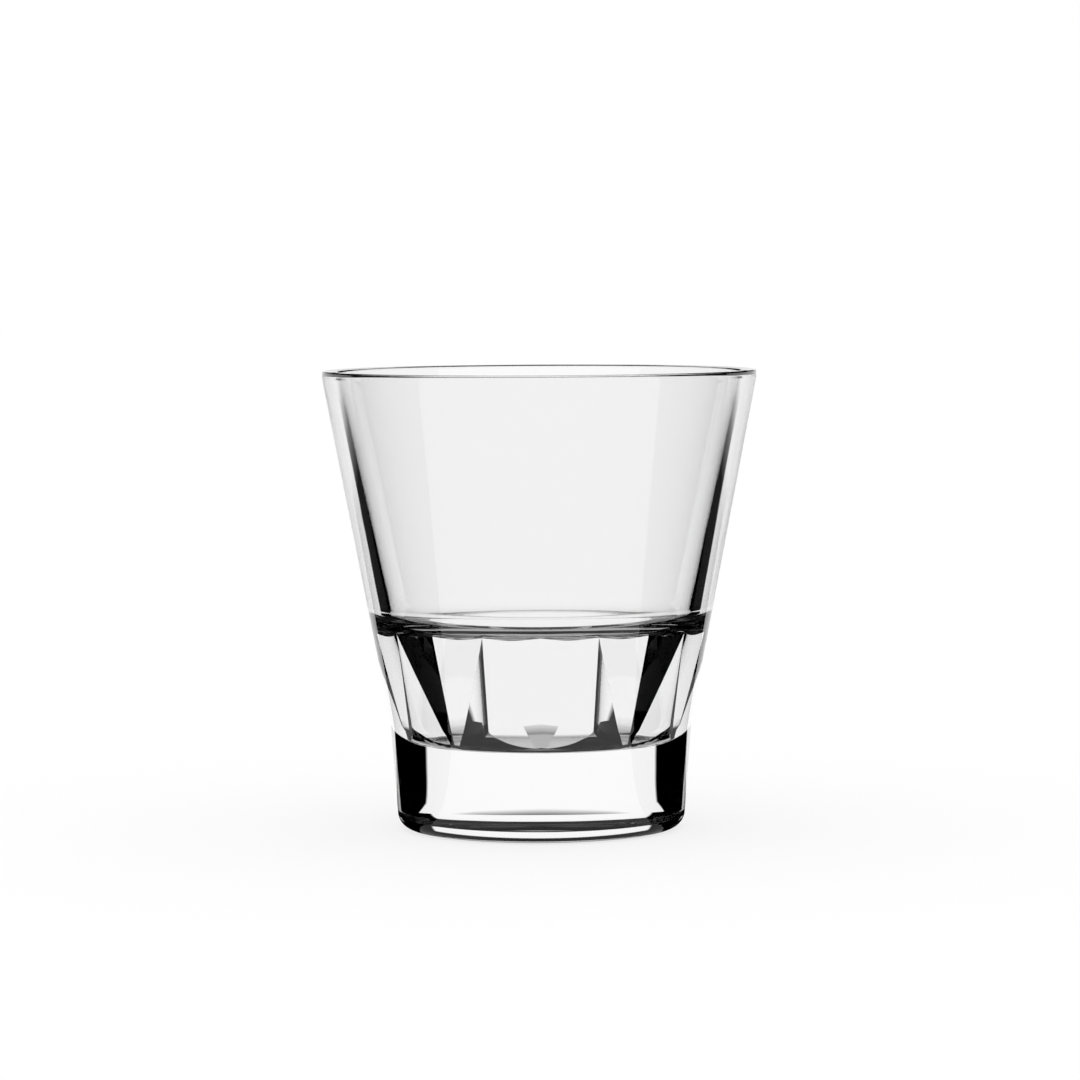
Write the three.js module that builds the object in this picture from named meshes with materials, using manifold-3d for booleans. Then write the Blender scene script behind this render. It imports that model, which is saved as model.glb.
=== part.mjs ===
// Rocks glass: one piece of pressed clear glass, smooth outside, with a pleated well under a ledge inside and a solid foot.
// Millimetres, +Z up, the axis of the glass on Z and the table at Z = 0.
import * as THREE from "three";
import { ConvexGeometry } from "three/addons/geometries/ConvexGeometry.js";
import { mergeVertices } from "three/addons/utils/BufferGeometryUtils.js";
import Module from "manifold-3d";

// Overall size of the glass
const HEIGHT = 92.6;
const RIM_RADIUS = 43.8;
const LIP_THICKNESS = 3.1;

// Foot: the round base that stands on the table
const FOOT_HEIGHT = 21.5;
const FOOT_TOP_RADIUS = 30.5;
const FOOT_BOTTOM_RADIUS = 29.1;
const HEEL_RADIUS = 3.3;
const UNDERSIDE_RADIUS = 22.5;
const UNDERSIDE_DEPTH = 0.8;

// Bowl: the wide upper hollow, down to a flat ledge with a rounded inner edge
const LEDGE_HEIGHT = 41.4;
const LEDGE_OUTER_RADIUS = 30.6;
const LEDGE_FILLET = 4.3;
const SHOULDER_ROUNDING = 2.2;
const SHOULDER_RADIUS = 22;

// Well: the pleated lower hollow, a star of flat walls with a down-pointing pleat on each side
const WELL_SIDES = 7;
const WELL_TOP_HEIGHT = 41.3;
const WELL_TOP_RADIUS = 23.4;
const CORNER_FOOT_RADIUS = 21.1;
const CORNER_FOOT_HEIGHT = 22.4;
const PLEAT_FOOT_RADIUS = 17.5;
const PLEAT_FOOT_HEIGHT = 16.2;
const WELL_FLOOR_HEIGHT = 17.3;
const WELL_FLOOR_RADIUS = 14.2;
const WELL_FILLET = 7.2;

// Fineness of the rounded faces
const STEPS_ROUND = 126;
const HEEL_STEPS = 5;
const LIP_STEPS = 8;
const FILLET_STEPS = 6;

const wasm = await Module();
wasm.setup();

// A three.js geometry as a closed solid for cutting
function solidOf(geometry) {
  const bare = geometry.clone();
  bare.deleteAttribute("normal");
  bare.deleteAttribute("uv");
  const merged = mergeVertices(bare, 1e-4);
  return new wasm.Manifold(
    new wasm.Mesh({
      numProp: 3,
      vertProperties: merged.attributes.position.array,
      triVerts: new Uint32Array(merged.index.array),
    }),
  );
}

// A solid back as a three.js geometry with flat-shaded faces
function geometryOf(solid) {
  const mesh = solid.getMesh();
  const positions = new Float32Array(mesh.numVert * 3);
  for (let i = 0; i < mesh.numVert; i += 1) {
    const start = i * mesh.numProp;
    positions.set(mesh.vertProperties.subarray(start, start + 3), i * 3);
  }
  const indexed = new THREE.BufferGeometry();
  indexed.setAttribute("position", new THREE.BufferAttribute(positions, 3));
  indexed.setIndex(new THREE.BufferAttribute(mesh.triVerts, 1));
  const geometry = indexed.toNonIndexed();
  geometry.computeVertexNormals();
  return geometry;
}

// Points along an arc in the profile plane, radius outwards and height upwards
function arc(centreRadius, centreHeight, radius, startAngle, endAngle, steps) {
  const points = [];
  for (let i = 0; i <= steps; i += 1) {
    const angle = startAngle + ((endAngle - startAngle) * i) / steps;
    points.push(
      new THREE.Vector2(
        centreRadius + radius * Math.cos(angle),
        centreHeight + radius * Math.sin(angle),
      ),
    );
  }
  return points;
}

const lipRadius = LIP_THICKNESS / 2;
const shoulderHeight = LEDGE_HEIGHT - SHOULDER_ROUNDING;

// Turned body: underside, heel, foot, bowl wall, lip, inner wall, ledge and its rounded inner edge
const profile = [
  new THREE.Vector2(0, UNDERSIDE_DEPTH),
  new THREE.Vector2(UNDERSIDE_RADIUS - UNDERSIDE_DEPTH, UNDERSIDE_DEPTH),
  new THREE.Vector2(UNDERSIDE_RADIUS, 0),
  ...arc(FOOT_BOTTOM_RADIUS - HEEL_RADIUS, HEEL_RADIUS, HEEL_RADIUS, -Math.PI / 2, 0, HEEL_STEPS),
  new THREE.Vector2(FOOT_TOP_RADIUS, FOOT_HEIGHT),
  ...arc(RIM_RADIUS - lipRadius, HEIGHT - lipRadius, lipRadius, 0, Math.PI, LIP_STEPS),
  ...arc(
    LEDGE_OUTER_RADIUS - LEDGE_FILLET,
    LEDGE_HEIGHT + LEDGE_FILLET,
    LEDGE_FILLET,
    0,
    -Math.PI / 2,
    FILLET_STEPS,
  ),
  ...arc(
    SHOULDER_RADIUS + SHOULDER_ROUNDING,
    shoulderHeight,
    SHOULDER_ROUNDING,
    Math.PI / 2,
    Math.PI,
    FILLET_STEPS,
  ),
  new THREE.Vector2(0, shoulderHeight),
];
function turn(points) {
  const geometry = new THREE.LatheGeometry(points, STEPS_ROUND);
  geometry.rotateX(Math.PI / 2);
  return solidOf(geometry);
}

// Star of flat walls: the air of the well with straight sides, two walls on each side that meet in the middle
const sideAngle = (2 * Math.PI) / WELL_SIDES;
const starBottom = WELL_FLOOR_HEIGHT - 1.5;
const starTop = WELL_TOP_HEIGHT + 4;
function at(radius, angle, height) {
  return new THREE.Vector3(radius * Math.sin(angle), -radius * Math.cos(angle), height);
}
const pleatFoot = at(PLEAT_FOOT_RADIUS, 0, PLEAT_FOOT_HEIGHT);
const cornerFoot = at(CORNER_FOOT_RADIUS, sideAngle / 2, CORNER_FOOT_HEIGHT);
const cornerTop = at(WELL_TOP_RADIUS, sideAngle / 2, WELL_TOP_HEIGHT);
const wall = new THREE.Plane().setFromCoplanarPoints(pleatFoot, cornerFoot, cornerTop);
function starRing(height) {
  const middle = (height * wall.normal.z + wall.constant) / wall.normal.y;
  const share = (height - CORNER_FOOT_HEIGHT) / (WELL_TOP_HEIGHT - CORNER_FOOT_HEIGHT);
  const corner = CORNER_FOOT_RADIUS + share * (WELL_TOP_RADIUS - CORNER_FOOT_RADIUS);
  const points = [];
  for (let side = 0; side < WELL_SIDES; side += 1) {
    points.push(at(middle, side * sideAngle, height));
    points.push(at(corner, (side + 0.5) * sideAngle, height));
  }
  return points;
}
function starPrism() {
  const count = 2 * WELL_SIDES;
  const vertices = [...starRing(starBottom), ...starRing(starTop), at(0, 0, starBottom), at(0, 0, starTop)];
  const bottomCentre = 2 * count;
  const topCentre = 2 * count + 1;
  const triangles = [];
  for (let i = 0; i < count; i += 1) {
    const next = (i + 1) % count;
    triangles.push(i, next, count + next);
    triangles.push(i, count + next, count + i);
    triangles.push(bottomCentre, next, i);
    triangles.push(topCentre, count + i, count + next);
  }
  const geometry = new THREE.BufferGeometry().setFromPoints(vertices);
  geometry.setIndex(triangles);
  return geometry;
}

// Rounded end of the well: the turned shape that the star keeps inside
const roundedEnd = [
  new THREE.Vector2(0, WELL_FLOOR_HEIGHT),
  ...arc(
    WELL_FLOOR_RADIUS,
    WELL_FLOOR_HEIGHT + WELL_FILLET,
    WELL_FILLET,
    -Math.PI / 2,
    0,
    FILLET_STEPS,
  ),
  new THREE.Vector2(WELL_TOP_RADIUS + 3, starTop + 1),
  new THREE.Vector2(0, starTop + 1),
];

// One pleat: two flat faces that meet in a crease down the middle of a side, wide at the ledge and pointed at the foot
function pleat(middleAngle) {
  const foot = at(PLEAT_FOOT_RADIUS, middleAngle, PLEAT_FOOT_HEIGHT);
  const points = [foot, at(WELL_TOP_RADIUS / 3, middleAngle, WELL_TOP_HEIGHT)];
  const beyond = 1.2;
  for (const turnAngle of [-sideAngle / 2, 0, sideAngle / 2]) {
    const top = at(WELL_TOP_RADIUS, middleAngle + turnAngle, WELL_TOP_HEIGHT);
    points.push(foot.clone().lerp(top, beyond));
  }
  return new ConvexGeometry(points);
}
const end = turn(roundedEnd);
let well = solidOf(starPrism());
for (let side = 0; side < WELL_SIDES; side += 1) {
  well = well.add(solidOf(pleat(side * sideAngle)));
}
const body = turn(profile).subtract(well.intersect(end));

// Clear glass
const glass = new THREE.MeshStandardMaterial({
  color: 0xe9eeec,
  roughness: 0.05,
  metalness: 0,
});
const tumbler = new THREE.Mesh(geometryOf(body), glass);
tumbler.name = "tumbler";

const rocksGlass = new THREE.Group();
rocksGlass.name = "rocks_glass";
rocksGlass.add(tumbler);
export default rocksGlass;
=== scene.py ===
import math

import bmesh
import bpy
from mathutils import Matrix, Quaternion, Vector


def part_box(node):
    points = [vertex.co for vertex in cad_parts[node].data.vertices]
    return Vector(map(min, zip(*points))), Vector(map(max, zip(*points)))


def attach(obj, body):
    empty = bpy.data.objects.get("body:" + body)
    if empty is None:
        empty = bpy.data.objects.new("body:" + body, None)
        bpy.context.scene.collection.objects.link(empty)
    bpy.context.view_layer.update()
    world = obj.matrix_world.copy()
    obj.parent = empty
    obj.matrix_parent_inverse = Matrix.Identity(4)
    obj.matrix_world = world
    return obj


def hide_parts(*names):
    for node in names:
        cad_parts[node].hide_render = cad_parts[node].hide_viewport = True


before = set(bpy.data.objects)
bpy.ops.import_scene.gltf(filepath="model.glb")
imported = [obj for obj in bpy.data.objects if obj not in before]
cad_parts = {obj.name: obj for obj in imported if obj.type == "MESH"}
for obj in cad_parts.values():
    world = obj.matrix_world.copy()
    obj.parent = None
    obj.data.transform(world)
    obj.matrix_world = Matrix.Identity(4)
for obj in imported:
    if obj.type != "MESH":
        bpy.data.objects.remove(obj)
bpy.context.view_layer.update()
scene = bpy.context.scene

# Tumbler: the whole rocks glass, one piece of clear soda-lime glass pressed in a mould and fire-polished.
# The outside is smooth, a straight flared bowl on a round solid foot, and the lip slopes slightly inwards.
# The plunger leaves a ledge in the bowl and, under it, a well of seven flat pleated sides on a rounded end.
MM = 0.001
low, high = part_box("tumbler")
rim_radius = high.x
glass_height = high.z
lip_thickness = 3.1 * MM
lip_outer_rounding = 0.3 * MM
lip_inner_rounding = 0.7 * MM
lip_slope = 5
lip_steps = 10
foot_height = 21.5 * MM
foot_top_radius = 30.5 * MM
foot_bottom_radius = 29.1 * MM
heel_radius = 3.3 * MM
heel_steps = 10
waist_reach = 1.5 * MM
underside_radius = 22.5 * MM
underside_depth = 0.8 * MM
ledge_height = 41.4 * MM
ledge_outer_radius = 30.6 * MM
ledge_fillet = 4.3 * MM
shoulder_rounding = 2.2 * MM
shoulder_radius = 22 * MM
ledge_steps = 12
steps_round = 288
turning_merge = 0.002 * MM


def arc(centre_radius, centre_height, radius, start, end, steps):
    points = []
    for step in range(steps + 1):
        angle = math.radians(start + (end - start) * step / steps)
        points.append((centre_radius + radius * math.cos(angle), centre_height + radius * math.sin(angle)))
    return points


def new_object(name, mesh_maker):
    mesh = bpy.data.meshes.new(name)
    mesh_maker.to_mesh(mesh)
    mesh_maker.free()
    made = bpy.data.objects.new(name, mesh)
    scene.collection.objects.link(made)
    return made


def turned_on_axis(name, points):
    turning = bmesh.new()
    outline = [turning.verts.new((radius, 0, height)) for radius, height in points]
    for start, end in zip(outline, outline[1:]):
        turning.edges.new((start, end))
    bmesh.ops.spin(
        turning,
        geom=turning.verts[:] + turning.edges[:],
        cent=(0, 0, 0),
        axis=(0, 0, 1),
        angle=math.tau,
        steps=steps_round,
        use_merge=True,
    )
    bmesh.ops.remove_doubles(turning, verts=turning.verts, dist=turning_merge)
    bmesh.ops.recalc_face_normals(turning, faces=turning.faces)
    return new_object(name, turning)


# Outline of the turned body, from the underside round the heel and lip to the rounded inner edge of the ledge
profile = [(0, underside_depth), (underside_radius - underside_depth, underside_depth), (underside_radius, 0)]
profile += arc(foot_bottom_radius - heel_radius, heel_radius, heel_radius, -90, 0, heel_steps)
straight_top = glass_height - lip_thickness / 2
bowl_slope = (rim_radius - foot_top_radius) / (straight_top - foot_height)
foot_slope = (foot_top_radius - foot_bottom_radius) / (foot_height - heel_radius)
for rise in (-waist_reach, -waist_reach / 3, waist_reach / 3, waist_reach):
    slope = bowl_slope if rise > 0 else foot_slope
    profile += [(foot_top_radius + rise * slope, foot_height + rise)]
lip_outer = rim_radius - lip_outer_rounding
lip_inner = rim_radius - lip_thickness + lip_inner_rounding
lip_outer_height = glass_height - lip_outer_rounding
lip_drop = (lip_outer - lip_inner) * math.tan(math.radians(lip_slope))
lip_inner_height = glass_height - lip_drop - lip_inner_rounding
profile += [(rim_radius, straight_top)]
profile += arc(lip_outer, lip_outer_height, lip_outer_rounding, 0, 90 + lip_slope, lip_steps)
profile += arc(lip_inner, lip_inner_height, lip_inner_rounding, 90 + lip_slope, 180, lip_steps)
fillet_radius = ledge_outer_radius - ledge_fillet
profile += arc(fillet_radius, ledge_height + ledge_fillet, ledge_fillet, 0, -90, ledge_steps)
shoulder_height = ledge_height - shoulder_rounding
profile += arc(shoulder_radius + shoulder_rounding, shoulder_height, shoulder_rounding, 90, 180, ledge_steps)
profile += [(0, shoulder_height)]
tumbler = turned_on_axis("rocks_glass_tumbler", profile)

# Air of the well: a star of flat walls and seven pleats, both kept inside the rounded end of the plunger
well_sides = 7
well_top_height = 41.3 * MM
well_top_radius = 23.4 * MM
corner_foot_radius = 21.1 * MM
corner_foot_height = 22.4 * MM
pleat_foot_radius = 17.5 * MM
pleat_foot_height = 16.2 * MM
pleat_overshoot = 1.2
well_floor_height = 17.5 * MM
well_floor_radius = 13.86 * MM
well_fillet = 7.8 * MM
well_steps = 16
star_bottom = well_floor_height - 1.5 * MM
star_top = well_top_height + 4 * MM
plunger_top = star_top + 1 * MM
plunger_top_radius = well_top_radius + 3 * MM
side_angle = math.tau / well_sides
corner_angle = side_angle / 2


def at(radius, angle, height):
    return Vector((radius * math.sin(angle), -radius * math.cos(angle), height))


def on_line(start, end, height):
    return start + (end - start) * (height - start.z) / (end.z - start.z)


def cut(piece, operation, cutter):
    modifier = piece.modifiers.new(operation.lower(), "BOOLEAN")
    modifier.operation = operation
    modifier.solver = "MANIFOLD"
    modifier.object = cutter


wall_foot = at(pleat_foot_radius, 0, pleat_foot_height)
wall_corner = at(corner_foot_radius, corner_angle, corner_foot_height)
wall_top = at(well_top_radius, corner_angle, well_top_height)
wall_normal = (wall_corner - wall_foot).cross(wall_top - wall_foot)

star = bmesh.new()
outline_points = 2 * well_sides
bottom = bmesh.ops.create_circle(star, cap_ends=True, segments=outline_points, radius=well_top_radius)
raised = bmesh.ops.extrude_face_region(star, geom=star.faces[:])["geom"]
top_ring = [part for part in raised if isinstance(part, bmesh.types.BMVert)]
for ring, height in ((bottom["verts"], star_bottom), (top_ring, star_top)):
    corner_radius = on_line(wall_corner, wall_top, height).xy.length
    middle_radius = pleat_foot_radius + (height - pleat_foot_height) * wall_normal.z / wall_normal.y
    for vert in ring:
        step = round(math.atan2(vert.co.x, vert.co.y) / corner_angle)
        radius = middle_radius if step % 2 else corner_radius
        vert.co = (*(vert.co.xy.normalized() * radius), height)
bmesh.ops.recalc_face_normals(star, faces=star.faces)
star_air = new_object("star_air", star)

plunger_profile = [(0, well_floor_height)]
plunger_profile += arc(well_floor_radius, well_floor_height + well_fillet, well_fillet, -90, 0, well_steps)
plunger_profile += [(plunger_top_radius, plunger_top), (0, plunger_top)]
plunger_air = turned_on_axis("plunger_air", plunger_profile)
cut(star_air, "INTERSECT", plunger_air)
cut(tumbler, "DIFFERENCE", star_air)
cutters = [star_air, plunger_air]
for side in range(well_sides):
    middle = side * side_angle
    pleat_foot = at(pleat_foot_radius, middle, pleat_foot_height)
    pleat = bmesh.new()
    pleat.verts.new(pleat_foot)
    pleat.verts.new(at(well_top_radius / 3, middle, well_top_height))
    for turn in (-corner_angle, 0, corner_angle):
        pleat_top = at(well_top_radius, middle + turn, well_top_height)
        pleat.verts.new(pleat_foot + (pleat_top - pleat_foot) * pleat_overshoot)
    bmesh.ops.convex_hull(pleat, input=pleat.verts)
    bmesh.ops.recalc_face_normals(pleat, faces=pleat.faces)
    pleat_air = new_object("pleat_air", pleat)
    cut(pleat_air, "INTERSECT", plunger_air)
    cut(tumbler, "DIFFERENCE", pleat_air)
    cutters.append(pleat_air)
pressed = bpy.data.meshes.new_from_object(tumbler.evaluated_get(bpy.context.evaluated_depsgraph_get()))
tumbler.modifiers.clear()
for cutter in cutters:
    bpy.data.meshes.remove(cutter.data)

# Clean mesh: slivers merged, pinholes closed, flat walls made whole, and the edges of the well rounded
sliver = 0.01 * MM
flat_angle = math.radians(0.3)
ridge_angle = math.radians(5)
edge_reach = well_top_radius + 1 * MM
edge_bottom = well_floor_height + 0.2 * MM
edge_rounding = 0.4 * MM
edge_segments = 3
smooth_angle = math.radians(30)
flat_weight = 90
rounding = bmesh.new()
rounding.from_mesh(pressed)
bpy.data.meshes.remove(pressed)
bmesh.ops.remove_doubles(rounding, verts=rounding.verts, dist=sliver)
stray_faces = [face for face in rounding.faces if all(edge.is_boundary for edge in face.edges)]
bmesh.ops.delete(rounding, geom=stray_faces, context="FACES")
loose_points = [vert for vert in rounding.verts if not vert.link_faces]
bmesh.ops.delete(rounding, geom=loose_points, context="VERTS")
pinholes = [edge for edge in rounding.edges if edge.is_boundary]
bmesh.ops.edgeloop_fill(rounding, edges=pinholes)
bmesh.ops.dissolve_limit(
    rounding, angle_limit=flat_angle, verts=rounding.verts, edges=rounding.edges, delimit=set()
)
well_edges = [
    edge
    for edge in rounding.edges
    if len(edge.link_faces) == 2
    and edge.calc_face_angle() > ridge_angle
    and all(vert.co.z < ledge_height and vert.co.xy.length < edge_reach for vert in edge.verts)
    and max(vert.co.z for vert in edge.verts) > edge_bottom
]
bmesh.ops.bevel(
    rounding,
    geom=well_edges,
    offset=edge_rounding,
    offset_type="OFFSET",
    segments=edge_segments,
    profile=0.5,
    affect="EDGES",
    clamp_overlap=True,
    material=-1,
)
bmesh.ops.recalc_face_normals(rounding, faces=rounding.faces)
for face in rounding.faces:
    face.smooth = True
rounding.to_mesh(tumbler.data)
rounding.free()
tumbler.data.set_sharp_from_angle(angle=smooth_angle)
flat_faces = tumbler.modifiers.new("flat_faces", "WEIGHTED_NORMAL")
flat_faces.mode = "FACE_AREA"
flat_faces.weight = flat_weight
flat_faces.keep_sharp = True
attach(tumbler, "root")
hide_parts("tumbler")


def linear(hex_colour):
    parts = []
    for place in (1, 3, 5):
        value = int(hex_colour[place : place + 2], 16) / 255
        parts.append(value / 12.92 if value <= 0.04045 else ((value + 0.055) / 1.055) ** 2.4)
    return (*parts, 1)


def add_node(tree, kind, settings=None, inputs=None, links=None):
    node = tree.nodes.new(kind)
    for name, value in (settings or {}).items():
        setattr(node, name, value)
    for name, value in (inputs or {}).items():
        node.inputs[name].default_value = value
    for name, source in (links or {}).items():
        tree.links.new(source, node.inputs[name])
    return node


# Clear pressed soda-lime glass: colourless, with a high polish that shows white or black and little between.
# Faint waves in the pressed skin make the lines a little uneven.
wave_length = 9 * MM
wave_height = 0.012 * MM
glass_ior = 1.52
glass = bpy.data.materials.new("clear_pressed_soda_lime_glass")
glass.use_nodes = True
glass_tree = glass.node_tree
glass_tree.nodes.clear()
place = add_node(glass_tree, "ShaderNodeTexCoord")
waves = add_node(
    glass_tree,
    "ShaderNodeTexNoise",
    inputs={"Scale": 1 / wave_length, "Detail": 1.0, "Roughness": 0.4},
    links={"Vector": place.outputs["Object"]},
)
pressed_skin = add_node(
    glass_tree,
    "ShaderNodeBump",
    inputs={"Strength": 1.0, "Distance": wave_height},
    links={"Height": waves.outputs["Fac"]},
)
clear = add_node(
    glass_tree,
    "ShaderNodeBsdfPrincipled",
    inputs={
        "Base Color": linear("#ffffff"),
        "Roughness": 0.0,
        "IOR": glass_ior,
        "Transmission Weight": 1.0,
    },
    links={"Normal": pressed_skin.outputs["Normal"]},
)
add_node(glass_tree, "ShaderNodeOutputMaterial", links={"Surface": clear.outputs["BSDF"]})
tumbler.data.materials.append(glass)

# Light: a white backdrop of limited height behind the glass and a narrower white panel on each side.
# The open corners between them are dark: white makes clear glass bright, and dark draws its edges black.
# Light turned inside the glass sees the backdrop alone, and a mirror image outside sees white in front.
backdrop_edge = math.radians(38)
corner_end = math.radians(73)
edge_softness = math.radians(1)
backdrop_top = math.sin(math.radians(18))
mirrored_top = math.sin(math.radians(8))
top_softness = 0.02
front_spread = 0.5
one_turn = 1.0
two_turns = 2.0
turned_twice = 0.1
half_count = 0.5


def reckon(tree, operation, *values):
    node = add_node(tree, "ShaderNodeMath", {"operation": operation})
    for place, value in enumerate(values):
        if isinstance(value, float):
            node.inputs[place].default_value = value
        else:
            tree.links.new(value, node.inputs[place])
    return node.outputs["Value"]


def fade(tree, value, start, end, at_start=0.0, at_end=1.0, style="LINEAR"):
    node = add_node(
        tree,
        "ShaderNodeMapRange",
        {"interpolation_type": style},
        {"From Min": start, "From Max": end, "To Min": at_start, "To Max": at_end},
        {"Value": value},
    )
    return node.outputs["Result"]


def choose(tree, share, first, second):
    node = add_node(tree, "ShaderNodeMix", links={"Factor": share, "A": first, "B": second})
    return node.outputs["Result"]


def white_sectors(tree, direction):
    path = add_node(tree, "ShaderNodeLightPath").outputs
    axes = add_node(tree, "ShaderNodeSeparateXYZ", links={"Vector": direction}).outputs
    across = reckon(tree, "ABSOLUTE", axes["X"])
    along = reckon(tree, "ABSOLUTE", axes["Y"])
    bearing = reckon(tree, "ARCTAN2", across, along)
    behind = reckon(tree, "GREATER_THAN", axes["Y"], 0.0)
    turned = reckon(tree, "MINIMUM", path["Glossy Depth"], one_turn)

    # Straight light sees the backdrop and the panels, turned light the backdrop, and dim after a second turn
    backdrop = fade(
        tree, bearing, backdrop_edge + edge_softness, backdrop_edge - edge_softness, style="SMOOTHSTEP"
    )
    panel = fade(tree, bearing, corner_end - edge_softness, corner_end + edge_softness, style="SMOOTHSTEP")
    through = reckon(tree, "MAXIMUM", backdrop, panel)
    strength_left = fade(tree, path["Glossy Depth"], two_turns, one_turn, turned_twice, 1.0)
    backdrop_behind = reckon(tree, "MULTIPLY", backdrop, behind)
    shine = reckon(tree, "MULTIPLY", backdrop_behind, strength_left)
    sector = choose(tree, turned, through, shine)

    # The backdrop ends at its top edge, lower in a mirror image, so that the back of the lip is dark
    outside = reckon(tree, "LESS_THAN", path["Transmission Depth"], half_count)
    mirrored = reckon(tree, "MULTIPLY", outside, turned)
    under_top = fade(tree, axes["Z"], backdrop_top + top_softness, backdrop_top - top_softness)
    under_mirrored_top = fade(tree, axes["Z"], mirrored_top + top_softness, mirrored_top - top_softness)
    low_part = choose(tree, mirrored, under_top, under_mirrored_top)
    low_sector = reckon(tree, "MULTIPLY", sector, low_part)

    # A mirror image on the outside also sees white in front of the glass
    forward = reckon(tree, "MULTIPLY_ADD", across, front_spread, axes["Y"])
    front = reckon(tree, "LESS_THAN", forward, 0.0)
    front_shine = reckon(tree, "MULTIPLY", mirrored, front)
    white = reckon(tree, "MAXIMUM", low_sector, front_shine)
    return {"white": white, "path": path, "bearing": bearing, "behind": behind}


world = bpy.data.worlds.new("white_backdrop_and_panels")
scene.world = world
world.use_nodes = True
world_tree = world.node_tree
world_tree.nodes.clear()
sight = add_node(world_tree, "ShaderNodeTexCoord")
surroundings = white_sectors(world_tree, sight.outputs["Generated"])
world_path = surroundings["path"]
plain_sight = reckon(world_tree, "MAXIMUM", world_path["Is Camera Ray"], world_path["Is Diffuse Ray"])
seen_white = reckon(world_tree, "MAXIMUM", surroundings["white"], plain_sight)
backdrop_light = add_node(
    world_tree, "ShaderNodeBackground", inputs={"Color": linear("#ffffff")}, links={"Strength": seen_white}
)
add_node(world_tree, "ShaderNodeOutputWorld", links={"Surface": backdrop_light.outputs["Background"]})

# Table: a plain white board under the glass, which keeps a soft faint shadow at the foot.
# Straight light sees a painted glow on it, white near by and in front of the panels, and painted shade makes
# it dim under the foot and the rim.
# Light turned once sees the far part behind painted white, and light turned more sees a painted glow under
# the foot.
board_radius = 6.0
board_segments = 96
board_gap = 0.05 * MM
white_reach = 0.45
reach_softness = 0.03
far_start = 0.42
far_softness = 0.04
far_edge = math.radians(64)
foot_shade_start = 29 * MM
foot_shade_end = 55 * MM
foot_shade = 0.3
glow_under = 0.4
rim_shade_start = 95 * MM
rim_shade_end = 130 * MM
rim_shade = 0.08
in_and_out = 2.0
board_glow = 0.745
board = bmesh.new()
bmesh.ops.create_circle(board, cap_ends=True, segments=board_segments, radius=board_radius)
bmesh.ops.translate(board, verts=board.verts, vec=(0, 0, low.z - board_gap))
table = new_object("white_table", board)

# Matt white board: plain white to the eye, with no shine, and only a little of its white can be shaded. Seen
# through the glass it shows painted light and painted shade in place of its lit white.
white_board = bpy.data.materials.new("matt_white_board")
white_board.use_nodes = True
board_tree = white_board.node_tree
board_tree.nodes.clear()
spot = add_node(board_tree, "ShaderNodeTexCoord").outputs["Object"]
distance = add_node(
    board_tree, "ShaderNodeVectorMath", {"operation": "LENGTH"}, links={0: spot}
).outputs["Value"]
# Painted light: seen through the glass, the board glows white in the sectors of the backdrop and panels, near
# by, and far behind.
around = white_sectors(board_tree, spot)
path = around["path"]

near = fade(board_tree, distance, white_reach + reach_softness, white_reach - reach_softness)
straight = reckon(board_tree, "LESS_THAN", path["Glossy Depth"], half_count)
near_straight = reckon(board_tree, "MULTIPLY", near, straight)
far = fade(board_tree, distance, far_start - far_softness, far_start + far_softness)
far_behind = reckon(board_tree, "MULTIPLY", far, around["behind"])
far_sector = reckon(board_tree, "LESS_THAN", around["bearing"], far_edge)
far_white = reckon(board_tree, "MULTIPLY", far_behind, far_sector)
turned_once = reckon(board_tree, "COMPARE", path["Glossy Depth"], one_turn, half_count)
far_once = reckon(board_tree, "MULTIPLY", far_white, turned_once)
lit_part = reckon(board_tree, "MAXIMUM", around["white"], near_straight)
white_part = reckon(board_tree, "MAXIMUM", lit_part, far_once)

# Painted shade: the board seen through the glass is dimmed under the foot, down to foot_shade.
painted_foot_shade = fade(board_tree, distance, foot_shade_start, foot_shade_end, foot_shade, 1.0)
# Painted shadow: light that went in and out of one wall sees the board behind the glass dark, out to the rim
# shade's end.
painted_rim_shade = fade(board_tree, distance, rim_shade_start, rim_shade_end, rim_shade, 1.0)
one_wall = reckon(board_tree, "COMPARE", path["Transmission Depth"], in_and_out, half_count)
past_foot = reckon(board_tree, "GREATER_THAN", distance, foot_shade_end)
rim_part = reckon(board_tree, "MULTIPLY", one_wall, past_foot)
shade = choose(board_tree, rim_part, painted_foot_shade, painted_rim_shade)
shaded_white = reckon(board_tree, "MULTIPLY", white_part, shade)

# Painted light: light turned more than once inside the glass sees a glow painted on the board under the foot.
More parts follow.
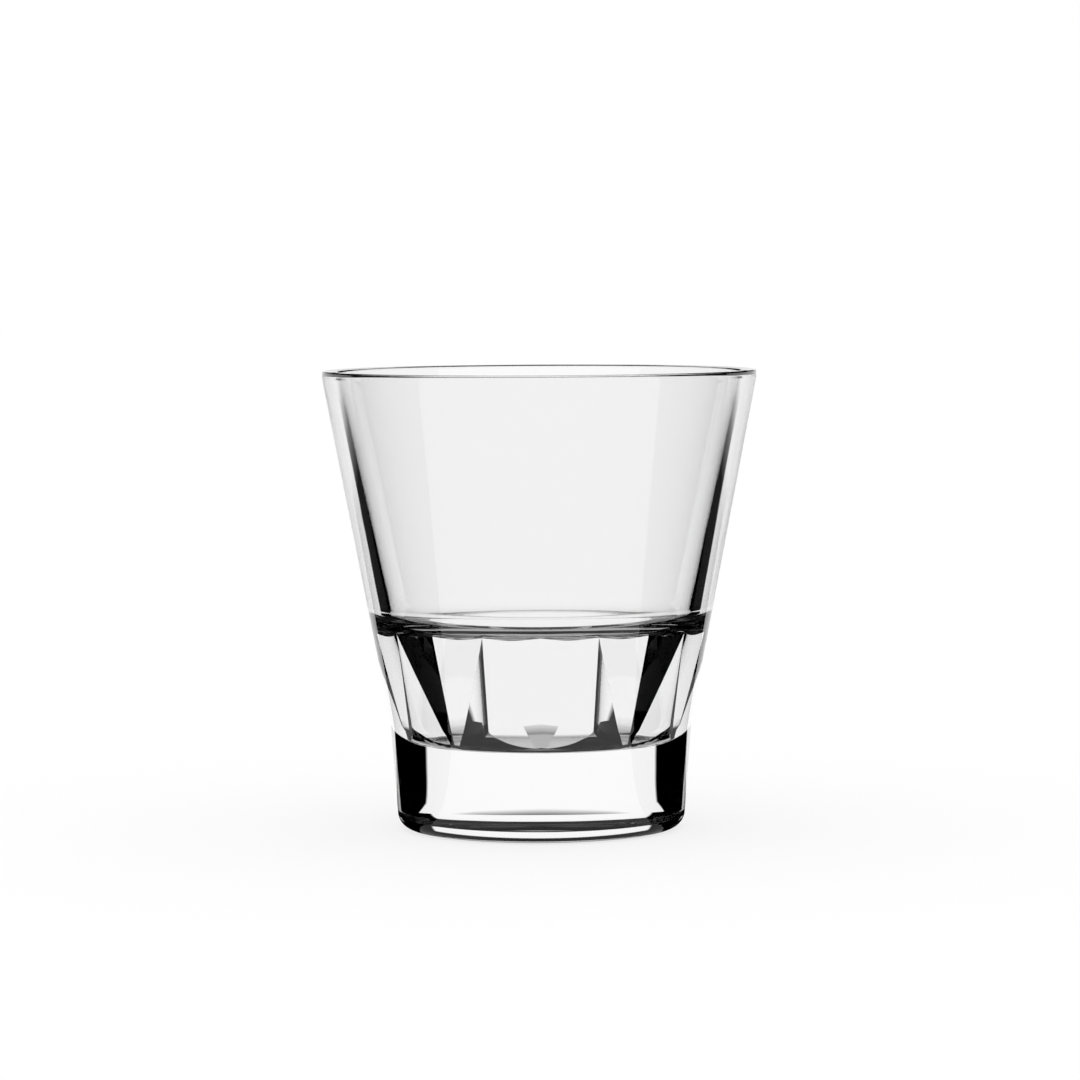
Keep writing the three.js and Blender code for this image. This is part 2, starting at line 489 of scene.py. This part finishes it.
standing = reckon(board_tree, "LESS_THAN", distance, foot_shade_start)
turned_more = reckon(board_tree, "GREATER_THAN", path["Glossy Depth"], one_turn + half_count)
turned_down = reckon(board_tree, "MULTIPLY", standing, turned_more)
painted_foot_glow = reckon(board_tree, "MULTIPLY", turned_down, glow_under)
seen_through = reckon(board_tree, "MAXIMUM", shaded_white, painted_foot_glow)

# Painted light and shade: this glow is the board as seen through the glass.
painted_light_through = add_node(
    board_tree, "ShaderNodeEmission", inputs={"Color": linear("#ffffff")}, links={"Strength": seen_through}
)
matt = add_node(board_tree, "ShaderNodeBsdfDiffuse", inputs={"Color": linear("#8c8c8c")})
glow = add_node(board_tree, "ShaderNodeEmission", inputs={"Color": linear("#ffffff"), "Strength": board_glow})
lit_board = add_node(
    board_tree, "ShaderNodeAddShader", links={0: matt.outputs["BSDF"], 1: glow.outputs["Emission"]}
)
through_glass = reckon(board_tree, "MAXIMUM", path["Is Transmission Ray"], path["Is Glossy Ray"])
board_mix = add_node(
    board_tree,
    "ShaderNodeMixShader",
    links={0: through_glass, 1: lit_board.outputs["Shader"], 2: painted_light_through.outputs["Emission"]},
)
add_node(board_tree, "ShaderNodeOutputMaterial", links={"Surface": board_mix.outputs["Shader"]})
table.data.materials.append(white_board)

# Camera: a long lens a little above the rim, looking along +Y and slightly down.
# Light may turn many times in the thick glass before it is given up, or the lip would turn black.
camera_distance = 0.885
camera_height = 0.1151
aim_height = 0.0582
picture_width = 1080
metres_per_pixel = 0.0002018
sensor_width = 36.0
roll = math.radians(-0.3)
most_bounces = 64
most_mirror_bounces = 32
camera_data = bpy.data.cameras.new("camera")
camera_data.sensor_width = sensor_width
camera_data.lens = sensor_width * camera_distance / (picture_width * metres_per_pixel)
camera = bpy.data.objects.new("camera", camera_data)
scene.collection.objects.link(camera)
camera.location = (0, -camera_distance, camera_height)
look = Vector((0, 0, aim_height)) - camera.location
camera_roll = Quaternion((0, 0, 1), roll)
camera.rotation_euler = (look.to_track_quat("-Z", "Y") @ camera_roll).to_euler()
scene.camera = camera
scene.view_settings.view_transform = "Standard"
scene.cycles.max_bounces = most_bounces
scene.cycles.transmission_bounces = most_bounces
scene.cycles.glossy_bounces = most_mirror_bounces
